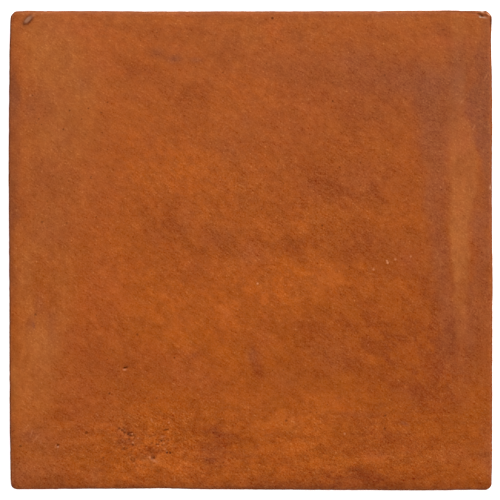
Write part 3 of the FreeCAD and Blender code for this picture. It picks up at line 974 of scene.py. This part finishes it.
def edge_section():
    """Section of the edge from the flat of the face to the underside, as distances out from the corners'
    middles and heights: a level rim, a quarter round arris, a straight side that leans in as it rises,
    and a quarter round foot."""
    top_out = CORNER_RADIUS - SIDE_LEAN
    rim = np.linspace(0, top_out - ARRIS_RADIUS, RIM_STEPS + 1)
    arris = np.linspace(0, np.pi / 2, ARRIS_STEPS + 1)[1:]
    side = np.linspace(0, 1, SIDE_STEPS + 1)[1:]
    foot = np.linspace(0, np.pi / 2, FOOT_STEPS + 1)[1:]
    out = np.concatenate((
        rim,
        top_out - ARRIS_RADIUS * (1 - np.sin(arris)),
        top_out + SIDE_LEAN * side,
        CORNER_RADIUS - FOOT_RADIUS * (1 - np.cos(foot)),
    ))
    height = np.concatenate((
        np.full(rim.size, THICKNESS),
        THICKNESS - ARRIS_RADIUS * (1 - np.cos(arris)),
        (THICKNESS - ARRIS_RADIUS) * (1 - side) + FOOT_RADIUS * side,
        FOOT_RADIUS * (1 - np.sin(foot)),
    ))
    return out, height


def grid_lines(reach, crowds):
    """Places of the grid's lines from -reach to reach, closer together where marks need fine relief: a
    density of 1 plus a bell at each crowd is summed along, and the lines cut the sum into equal shares.
    The lines of the edge's rings all start from the two ends."""
    place = np.linspace(-reach, reach, DENSITY_STEPS + 1)
    density = 1 + sum(crowd.closer * fall((place - crowd.at) / crowd.half_width) for crowd in crowds)
    total = np.cumsum(density)
    flat = np.interp(np.linspace(total[0], total[-1], GRID_STEPS - 2 * RINGS + 1), total, place)
    return np.concatenate((np.full(RINGS, -reach), flat, np.full(RINGS, reach)))


def laid_out(across, up, rings, out):
    """Plan of the grid. A point between the end lines stays on its two lines. Beyond them it goes out by
    its ring's distance, square to the side, or round a corner on an arc, where the smaller of its two
    ring numbers over the larger is its share of 45 degrees. Gives x, y and each point's ring and outward
    direction."""
    ring_x, ring_y = np.meshgrid(rings, rings)
    x, y = np.meshgrid(across, up)
    ring = np.maximum(ring_x, ring_y)
    share = np.minimum(ring_x, ring_y) / np.maximum(ring, 1)
    turn = np.where(ring_x >= ring_y, share, 2 - share) * np.pi / 4
    side_x = np.sign(x)
    side_y = np.sign(y)
    fuller = sum(corner.fuller * (side_x == corner.x) * (side_y == corner.y) for corner in CORNERS)
    reach = out[ring] * (1 + fuller * np.sin(2 * turn) ** 2)
    out_x = side_x * np.cos(turn)
    out_y = side_y * np.sin(turn)
    return x + out_x * reach, y + out_y * reach, ring, out_x, out_y


def worn_in(x, y):
    """The plan drawn in to the worn outline: each side's inset, eased along it, fades evenly to the
    middle, and the notches in the back edge die away inwards."""
    inset_x = np.where(x < 0, eased(OUTLINE.left, y), eased(OUTLINE.right, y))
    inset_y = np.where(y < 0, eased(OUTLINE.front, x), eased(OUTLINE.back, x))
    notched = sum(notch.depth * fall((x - notch.x) / notch.half_width) for notch in BACK_NOTCHES)
    near_back = fall((HALF_DEPTH - y) / NOTCH_REACH)
    return x * (1 - inset_x / HALF_WIDTH), y * (1 - inset_y / HALF_DEPTH) - notched * near_back


def along_sides(x, y, rolls):
    """Sum over the four sides of what each has at its edge, dying away inwards as exp(-(d/width)^2)."""
    inside = Sides(HALF_WIDTH + x, HALF_WIDTH - x, HALF_DEPTH - y, HALF_DEPTH + y)
    return sum(roll.depth * fall(np.maximum(far, 0) / roll.width) for roll, far in zip(rolls, inside))


def by_side(out_x, out_y, values):
    """A value for each side, blended round the corners by the outward direction."""
    facing = Sides(-out_x, out_x, out_y, -out_y)
    return sum(value * np.maximum(towards, 0) for value, towards in zip(values, facing))


def pits(x, y):
    """Small pits, 0 to about 1 deep, where noise stands above a level."""
    return np.clip(waves(x, y, PITS) - PIT_LEVEL, 0, 1)


def face_drop(x, y):
    """How far the face lies below the tile's top: a roll-off along each side, slow waves, the hollows
    less the flakes in them, and the pits of the rough ground. Never less than nothing."""
    near = wandering(x, y, MARK_WANDERS)
    drop = FACE_SINK + waves(x, y, FACE_WAVES) + along_sides(x, y, FACE_ROLL)
    drop = drop + pressed(*near, HOLLOWS, HOLLOW_POWER) - pressed(*near, FLAKES, FLAKE_POWER)
    drop = drop + PIT_DEPTH * pits(x, y) * stained(x, y, ROUGH_GROUND)
    return np.maximum(drop, 0)


def quads(number):
    """Four-sided faces between the numbered points of a grid, counter-clockwise. A grid turned over by
    swapping its two ways gives faces that look down."""
    corners = (number[:-1, :-1], number[:-1, 1:], number[1:, 1:], number[1:, :-1])
    return np.stack(corners, -1).reshape(-1, 4)


def border(number):
    """Numbers of a grid's outer points, once round counter-clockwise from its first corner."""
    return np.concatenate((number[0, :-1], number[:-1, -1], number[-1, :0:-1], number[:0:-1, 0]))


def underside_faces(number, low_number):
    """Faces of the underside: a grid of quads that look down, and round it a ring of seven-sided faces,
    each from one coarse edge to the fine edges of the foot beside it."""
    fine_loop = border(number)
    coarse_loop = border(low_number)
    first_fine = UNDERSIDE_SHARE * np.arange(coarse_loop.size)[:, None]
    beside = first_fine + np.arange(UNDERSIDE_SHARE, -1, -1)
    joins = np.column_stack((
        coarse_loop,
        np.roll(coarse_loop, -1),
        fine_loop[beside % fine_loop.size],
    ))
    return quads(low_number.T).tolist() + joins.tolist()


def tile_skin():
    """Points, faces and painted values of the tile's skin. The face, arris, side and foot are one grid,
    and the underside is a coarser grid joined to it."""
    out, height = edge_section()
    steps = np.arange(GRID_STEPS + 1)
    rings = np.maximum(np.maximum(RINGS - steps, steps - GRID_STEPS + RINGS), 0)
    across = grid_lines(HALF_WIDTH - CORNER_RADIUS, CROWDS_ACROSS)
    up = grid_lines(HALF_DEPTH - CORNER_RADIUS, CROWDS_UP)
    x, y, ring, out_x, out_y = laid_out(across, up, rings, out)
    x, y = worn_in(x, y)
    z = height[ring] * (1 - face_drop(x, y) / THICKNESS)
    down = (ring - RIM_STEPS) / ARRIS_STEPS
    slant = (x + SIDE_SLANT_X * z, y + SIDE_SLANT_Y * z)
    inward = np.abs(waves(*slant, SIDE_WAVES)) * np.clip(down, 0, 1)
    x = x - out_x * inward
    y = y - out_y * inward

    thinned = slice(None, None, UNDERSIDE_SHARE)
    low_out = np.linspace(0, out[-1] - UNDERSIDE_GAP, RINGS + 1)
    low_plan = laid_out(across[thinned], up[thinned], rings[thinned], low_out)
    low_x, low_y = worn_in(*low_plan[:2])
    nothing = np.zeros(low_x.size)

    number = np.arange(x.size).reshape(x.shape)
    low_number = number.size + np.arange(low_x.size).reshape(low_x.shape)
    faces = quads(number).tolist() + underside_faces(number, low_number)
    points = np.column_stack((np.append(x, low_x), np.append(y, low_y), np.append(z, nothing)))

    patchy = np.clip(PATCHES_LEVEL + waves(*slant, PATCHES), 0, PATCHES_MOST)
    painted = face_paint(x, y, patchy, down, out_x, out_y)
    painted = {name: np.append(weight, nothing) for name, weight in painted.items()}
    painted["raw"][number.size:] = 1
    painted["underside"] = (points[:, 2] < FOOT_RADIUS / 2).astype(float)
    return points, faces, painted


def face_paint(x, y, patchy, down, out_x, out_y):
    """Weights of each stain and touch over the skin, painted shade and painted highlights among them.
    Stains are read at points that wander a few millimetres, and touches where they are. Patchy is how
    strong the painted shade and the worn line with its painted highlight are at the edge there, and down
    is 0 where the arris starts and 1 where the side does."""
    far_x, far_y = wandering(x, y, STAIN_WANDERS)
    points = (x, y, far_x, far_y)
    drips = streaked(x + DRIP_WANDER * (far_x - x), y + DRIP_WANDER * (far_y - y), DRIPS, DRIP_POWER)
    rough = stained(x, y, ROUGH_GROUND)
    pitted = pits(x, y)
    # Painted highlight on the front lip of each pit, the side that faces the key light behind
    lit_lips = np.clip(pits(x, y + PIT_HIGHLIGHT_REACH) - pitted, 0, 1)
    # Wear and painted highlight along the arris, strongest at the back
    worn_and_lit = fall((down - WEAR_AND_HIGHLIGHT_MIDDLE) / WEAR_AND_HIGHLIGHT_WIDTH) * by_side(out_x, out_y, EDGE_WEAR_AND_HIGHLIGHT)
    foot = 1 + (SIDE_STEPS + FOOT_STEPS) / ARRIS_STEPS
    # Painted shade along the edges of the face, strongest at the front and left, which face away from the
    # key light
    edge_shade = along_sides(x, y, EDGE_SHADE) * (1 - ramp(down, 0, 1))
    # Painted shade on the sides themselves, strongest on the left and front
    side_shade = by_side(out_x, out_y, SIDE_SHADE) * ramp(down, SIDE_SHADE_FROM, SIDE_SHADE_FULL)
    side_shade = side_shade * (1 - SIDE_SHADE_FADE * ramp(down, 1, foot)) * (1 - SIDE_PATCHES * (1 - patchy))
    level = ramp(y, LEVEL_FRONT_FROM, LEVEL_FRONT_FULL) + ramp(y, LEVEL_BACK_FROM, LEVEL_BACK_FULL)
    return {
        "umber_and_shade": soaked(*points, UMBER_AND_SHADE),
        "gold": soaked(*points, GOLD),
        "bloom": streaked(far_x, far_y, BLOOM_STREAKS, STREAK_POWER) + drips + soaked(*points, BLOOM),
        "smoke": (
            streaked(far_x, far_y, SMOKE_STREAKS, STREAK_POWER)
            + soaked(*points, SMOKE)
            + stained(x, y, ASH, ASH_POWER)
        ),
        "flush": soaked(*points, FLUSH),
        # Dirt, with painted shade in hollows, creases and pits, along the face's edges and on the sides
        "dirt_and_shade": (
            stained(x, y, DIRT_AND_SHADE, TOUCH_POWER)
            + PIT_DIRT_AND_SHADE * pitted * rough
            + patchy * edge_shade
            + side_shade
        ),
        # Rubbed clay and scratches, with painted highlights on the lips of pits and hollows and along the
        # arris
        "rubbed_and_lit": stained(x, y, RUBBED_AND_HIGHLIGHTS, TOUCH_POWER) + PIT_LIP_HIGHLIGHT * lit_lips * rough + patchy * worn_and_lit,
        "chalk_and_highlight": stained(x, y, CHALK_AND_HIGHLIGHTS, TOUCH_POWER),
        "raw": ramp(down, RAW_FROM, RAW_FULL),
        "coarse": stained(x, y, COARSE),
        "upright": ramp(np.abs(x), UPRIGHT_FROM, UPRIGHT_FULL),
        "level": level,
    }


class Shade:
    """A socket in the clay's node tree. Sums and products of shades add Math nodes."""

    def __init__(self, tree, socket=None):
        self.tree = tree
        self.socket = socket

    def node(self, kind, settings, sockets, output=0):
        """Adds a node: sets its settings, then its sockets' values or links, and gives one output."""
        new = self.tree.nodes.new(kind)
        for name, value in settings.items():
            setattr(new, name, value)
        for name, value in sockets.items():
            if isinstance(value, Shade):
                self.tree.links.new(value.socket, new.inputs[name])
            else:
                new.inputs[name].default_value = value
        return Shade(self.tree, new.outputs[output])

    def math(self, operation, first, second):
        """A Math node on two shades, or a shade and a number."""
        return self.node("ShaderNodeMath", {"operation": operation}, {0: first, 1: second})

    def __add__(self, other):
        return self.math("ADD", self, other)

    def __radd__(self, other):
        return self.math("ADD", other, self)

    def __sub__(self, other):
        return self.math("SUBTRACT", self, other)

    def __rsub__(self, other):
        return self.math("SUBTRACT", other, self)

    def __mul__(self, other):
        return self.math("MULTIPLY", self, other)

    def __rmul__(self, other):
        return self.math("MULTIPLY", other, self)

    def __gt__(self, other):
        return self.math("GREATER_THAN", self, other)

    def between(self, low, high, start=0, end=1):
        """Start at low and below, end at high and above, eased between."""
        sockets = {"Value": self, "From Min": low, "From Max": high, "To Min": start, "To Max": end}
        return self.node("ShaderNodeMapRange", {"interpolation_type": "SMOOTHSTEP"}, sockets)

    def mixed(self, below, above, **settings):
        """Two colours in a Mix node, with this shade as its factor."""
        sockets = {MIX_FACTOR: self, MIX_BELOW: below, MIX_ABOVE: above}
        return self.node("ShaderNodeMix", {"data_type": "RGBA", **settings}, sockets, MIX_RESULT)

    def over(self, below, colour):
        """A colour laid over another, as strongly as this shade."""
        return self.mixed(below, colour, clamp_factor=True)

    def added(self, below, tint):
        """A colour with this many times a tint added."""
        return self.mixed(below, tint, blend_type="ADD", clamp_factor=False)

    def painted(self, name):
        """A weight painted on the skin's points."""
        return self.node("ShaderNodeAttribute", {"attribute_name": name}, {}, "Fac")

    def scaled(self, stretch):
        """This position times three numbers."""
        return self.node("ShaderNodeVectorMath", {"operation": "MULTIPLY"}, {0: self, 1: stretch})

    def turned(self, degrees):
        """This position turned about the upright axis."""
        sockets = {"Vector": self, "Angle": np.radians(degrees)}
        return self.node("ShaderNodeVectorRotate", {"rotation_type": "Z_AXIS"}, sockets)

    def texture(self, kind):
        """A texture's noise at this position, about -0.5 to 0.5."""
        cells = (1 / kind.length, 1 / kind.breadth, 1 / kind.breadth)
        sockets = {
            "Vector": self.turned(kind.turn).scaled(cells),
            "W": kind.seed,
            "Scale": 1.0,
            "Detail": kind.detail,
            "Roughness": kind.roughness,
        }
        return self.node("ShaderNodeTexNoise", {"noise_dimensions": "4D"}, sockets) - 0.5

    def scattered(self, scatter):
        """Round specks: within a radius of a random point in each cell, in a share of the cells."""
        sockets = {"Vector": self, "Scale": 1 / scatter.cell}
        distance = self.node("ShaderNodeTexVoronoi", {}, sockets, "Distance")
        chance = self.node("ShaderNodeTexVoronoi", {}, sockets, "Color")
        drawn = self.node("ShaderNodeSeparateColor", {}, {0: chance}) > 1 - scatter.share
        radius = scatter.radius / scatter.cell
        return scatter.strength * (drawn * distance.between(SPECK_CORE * radius, radius, 1, 0))

    def specked(self, specks):
        """Sum of round specks at their own places: each has its strength in the middle and 0 at its
        radius."""
        total = 0
        for speck in specks.values():
            sockets = {0: self, 1: (speck.x, speck.y, 0)}
            distance = self.node("ShaderNodeVectorMath", {"operation": "DISTANCE"}, sockets, "Value")
            total = total + distance.between(SPECK_CORE * speck.radius, speck.radius, speck.strength, 0)
        return total


def display(levels):
    """Linear light of display levels: a straight line up to the knee, and a power above it."""
    share = np.asarray(levels) / LEVELS
    curved = ((share + CURVE_OFFSET) / (1 + CURVE_OFFSET)) ** CURVE_POWER
    return np.where(share <= CURVE_KNEE, share / CURVE_SLOPE, curved)


def pigment(levels):
    """Colour for the shader that shows as these levels: their light, less the sheen, over the light
    that falls on the face."""
    return (*np.maximum((display(levels) - SHEEN_ON_FACE) / LIGHT_ON_FACE, 0), 1)


def spread(levels):
    """Light in the shader between a clay darker and a clay lighter by half of these levels."""
    half = np.array(levels) / 2
    return (*((display(CLAY + half) - display(CLAY - half)) / LIGHT_ON_FACE), 1)


def weighted(textures, weights):
    """Sum of textures, each times its weight."""
    return sum(weight * textures[name] for name, weight in weights.items())


def clay_textures(clay, place):
    """The clay's textures by name. The smears slant, but run upright or level where the skin is painted
    so, and flecks are smears with firm edges."""
    textures = {name: place.texture(kind) for name, kind in TEXTURES.items()}
    smears = place.texture(SLANTING_SMEARS)
    for way, kind in TURNED_SMEARS.items():
        smears = smears + clay.painted(way) * (place.texture(kind) - smears)
    textures["smears"] = smears
    textures["flecks"] = weighted(textures, FLECKING).between(FLECK_LOW, FLECK_HIGH, -0.5, 0.5)
    return textures


def stained_colour(clay, place, textures):
    """Colour of the clay under its grain: a ground that is lighter and bluer at the back and darker at
    the front, stains and the painted shade along the front broken up by the textures, and raw clay on the
    sides and the underside."""
    towards_back = clay.node("ShaderNodeSeparateXYZ", {}, {0: place}, "Y")
    drift = towards_back.between(DRIFT_START, DRIFT_START + DRIFT_LENGTH)
    colour = drift.over(pigment(CLAY_FRONT), pigment(CLAY_BACK))
    ragged = 1 + weighted(textures, RAGGED)
    broken = {
        "umber_and_shade": (1 - FLECKED * textures["flecks"]) * ragged,
        "gold": (GOLD_SHARE + FLECKED * textures["flecks"]) * ragged,
    }
    smeared = ragged + SMEARED * textures["smears"]
    for name, levels in STAIN_COLOURS.items():
        colour = (clay.painted(name) * broken.get(name, smeared)).over(colour, pigment(levels))
    underside = clay.painted("underside")
    darker = underside * (UNDERSIDE_RAW + weighted(textures, UNDERSIDE_SMEARS))
    colour = clay.painted("raw").over(colour, pigment(RAW_COLOUR))
    colour = underside.over(colour, pigment(UNDERSIDE_COLOUR))
    return darker.over(colour, pigment(RAW_COLOUR))


def grained_colour(clay, place, textures, colour):
    """The colour with mottling, tinges and grain added. The grain is a curve of dust and fibres, so that
    a few grains stand out."""
    coarse = 1 + clay.painted("coarse")
    mottled = coarse * (1 + LEVEL_MOTTLE * clay.painted("level")) * weighted(textures, MOTTLING)
    speckle = weighted(textures, SPECKLING)
    curved = speckle * (SPECKLE_LINE + SPECKLE_SQUARE * speckle + SPECKLE_CUBE * (speckle * speckle))
    grained = coarse * (GRAIN_SHARE * textures["grain"] + curved) * (1 + textures["broad"])
    colour = mottled.added(colour, spread(MOTTLE_SPREAD))
    for tinge in TINGES.values():
        colour = (tinge.strength * place.texture(tinge.texture)).added(colour, spread(tinge.spread))
    return grained.added(colour, spread(GRAIN_SPREAD))


def sealed_terracotta():
    """Fired clay: stained, mottled and grained, with specks, dirt and painted shade, and rubbed edges and
    painted highlights, under a thin satin sealer on the face alone."""
    material = bpy.data.materials.new(SLOT)
    material.use_nodes = True
    tree = material.node_tree
    tree.nodes.clear()
    clay = Shade(tree)
    place = clay.node("ShaderNodeTexCoord", {}, {}, "Object").scaled((1 / METRES,) * 3)
    textures = clay_textures(clay, place)
    colour = stained_colour(clay, place, textures)
    colour = grained_colour(clay, place, textures, colour)

    raw = clay.painted("raw")
    plan = place.scaled((1, 1, 0))
    dark_specks = place.scattered(DARK_SCATTER) + (1 - raw) * plan.specked(DARK_SPECKS)
    pale_specks = place.scattered(PALE_SCATTER) + (1 - raw) * plan.specked(PALE_SPECKS)
    colour = dark_specks.over(colour, pigment(DIRT_AND_SHADE_COLOUR))
    colour = pale_specks.over(colour, pigment(RUBBED_AND_HIGHLIGHT_COLOUR))
    uneven = 1 + TOUCH_GRAIN * textures["grain"]
    # Dirt, with painted shade in the hollows, creases and pits and along the edges and the sides turned
    # from the key light
    dirt_and_shade = clay.painted("dirt_and_shade") * uneven
    colour = dirt_and_shade.over(colour, pigment(DIRT_AND_SHADE_COLOUR))
    # Rubbed clay and painted highlights, then chalk and painted highlights, on the lips and edges that
    # face the key light
    colour = (clay.painted("rubbed_and_lit") * uneven).over(colour, pigment(RUBBED_AND_HIGHLIGHT_COLOUR))
    colour = (clay.painted("chalk_and_highlight") * uneven).over(colour, pigment(CHALK_AND_HIGHLIGHT_COLOUR))

    relief = (weighted(textures, RELIEF) - SPECK_DEPTH * dark_specks) * (1 + RAW_RELIEF * raw)
    bump = clay.node("ShaderNodeBump", {}, {"Distance": METRES, "Height": relief})
    sealed = clay.node("ShaderNodeBsdfPrincipled", {}, {
        "Base Color": colour,
        "Roughness": SEALED_ROUGHNESS + weighted(textures, ROUGHENING),
        "Normal": bump,
        "Specular IOR Level": SEALER_SHINE,
    })
    unsealed = clay.node("ShaderNodeBsdfPrincipled", {}, {
        "Base Color": colour,
        "Roughness": RAW_ROUGHNESS,
        "Normal": bump,
        "Specular IOR Level": 0.0,
    })
    surface = clay.node("ShaderNodeMixShader", {}, {0: raw + dirt_and_shade, 1: sealed, 2: unsealed})
    end = tree.nodes.new("ShaderNodeOutputMaterial")
    tree.links.new(surface.socket, end.inputs["Surface"])
    return material


def add_tile():
    """Puts the skin into a mesh with its painted values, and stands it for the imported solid."""
    points, faces, painted = tile_skin()
    mesh = bpy.data.meshes.new("tile_clay")
    mesh.from_pydata((points * METRES).tolist(), [], faces)
    mesh.polygons.foreach_set("use_smooth", np.ones(len(mesh.polygons), dtype=bool))
    for name, values in painted.items():
        layer = mesh.attributes.new(name, "FLOAT", "POINT")
        layer.data.foreach_set("value", values.astype(np.float32))
    mesh.materials.append(sealed_terracotta())
    mesh.update()
    tile = bpy.data.objects.new("tile_clay", mesh)
    bpy.context.collection.objects.link(tile)
    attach(tile, BODY)
    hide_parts(NODE)


def add_floor():
    """The pale floor: a square sheet, a hair below the tile, with an opening that shows the underside."""
    mesh = bpy.data.meshes.new("studio_floor")
    corners = np.array([(-1, -1, 0), (1, -1, 0), (1, 1, 0), (-1, 1, 0)])
    points = np.concatenate((corners * FLOOR_REACH, corners * FLOOR_OPENING)) - (0, 0, FLOOR_DROP)
    mesh.from_pydata(points.tolist(), [], [(0, 1, 5, 4), (1, 2, 6, 5), (2, 3, 7, 6), (3, 0, 4, 7)])
    material = bpy.data.materials.new("pale_floor")
    material.use_nodes = True
    finish = material.node_tree.nodes["Principled BSDF"].inputs
    finish["Base Color"].default_value = (FLOOR_WHITE, FLOOR_WHITE, FLOOR_WHITE, 1)
    finish["Roughness"].default_value = FLOOR_ROUGHNESS
    finish["Specular IOR Level"].default_value = FLOOR_SHINE
    finish["Emission Color"].default_value = (1, 1, 1, 1)
    finish["Emission Strength"].default_value = FLOOR_GLOW
    mesh.materials.append(material)
    floor = bpy.data.objects.new("studio_floor", mesh)
    bpy.context.collection.objects.link(floor)


def add_lights():
    """Soft lamps that light the whole face evenly, one for the underside, and a dim even world."""
    for name, lamp in LAMPS.items():
        light = bpy.data.lights.new(name, "SUN")
        light.energy = lamp.strength
        light.angle = np.radians(lamp.spread)
        bearing, elevation = np.radians((lamp.bearing, lamp.elevation))
        towards = Vector((
            np.cos(bearing) * np.cos(elevation),
            np.sin(bearing) * np.cos(elevation),
            np.sin(elevation),
        ))
        placed = bpy.data.objects.new(name, light)
        placed.location = LAMP_DISTANCE * towards
        placed.rotation_euler = towards.to_track_quat("Z", "Y").to_euler()
        bpy.context.collection.objects.link(placed)
    world = bpy.data.worlds.new("studio")
    world.use_nodes = True
    world.node_tree.nodes["Background"].inputs["Color"].default_value = (1, 1, 1, 1)
    world.node_tree.nodes["Background"].inputs["Strength"].default_value = WORLD_LIGHT
    bpy.context.scene.world = world
    bpy.context.scene.view_settings.view_transform = "Standard"


def add_camera():
    """A long lens straight above the tile."""
    data = bpy.data.cameras.new("camera")
    data.sensor_width = SENSOR
    data.lens = SENSOR * CAMERA_HEIGHT / (PICTURE_WIDTH * METRES)
    data.clip_end = CAMERA_SIGHT
    camera = bpy.data.objects.new("camera", data)
    camera.location = (CAMERA_X * METRES, CAMERA_Y * METRES, CAMERA_HEIGHT + THICKNESS / 2 * METRES)
    bpy.context.collection.objects.link(camera)
    bpy.context.scene.camera = camera


add_tile()
add_floor()
add_lights()
add_camera()
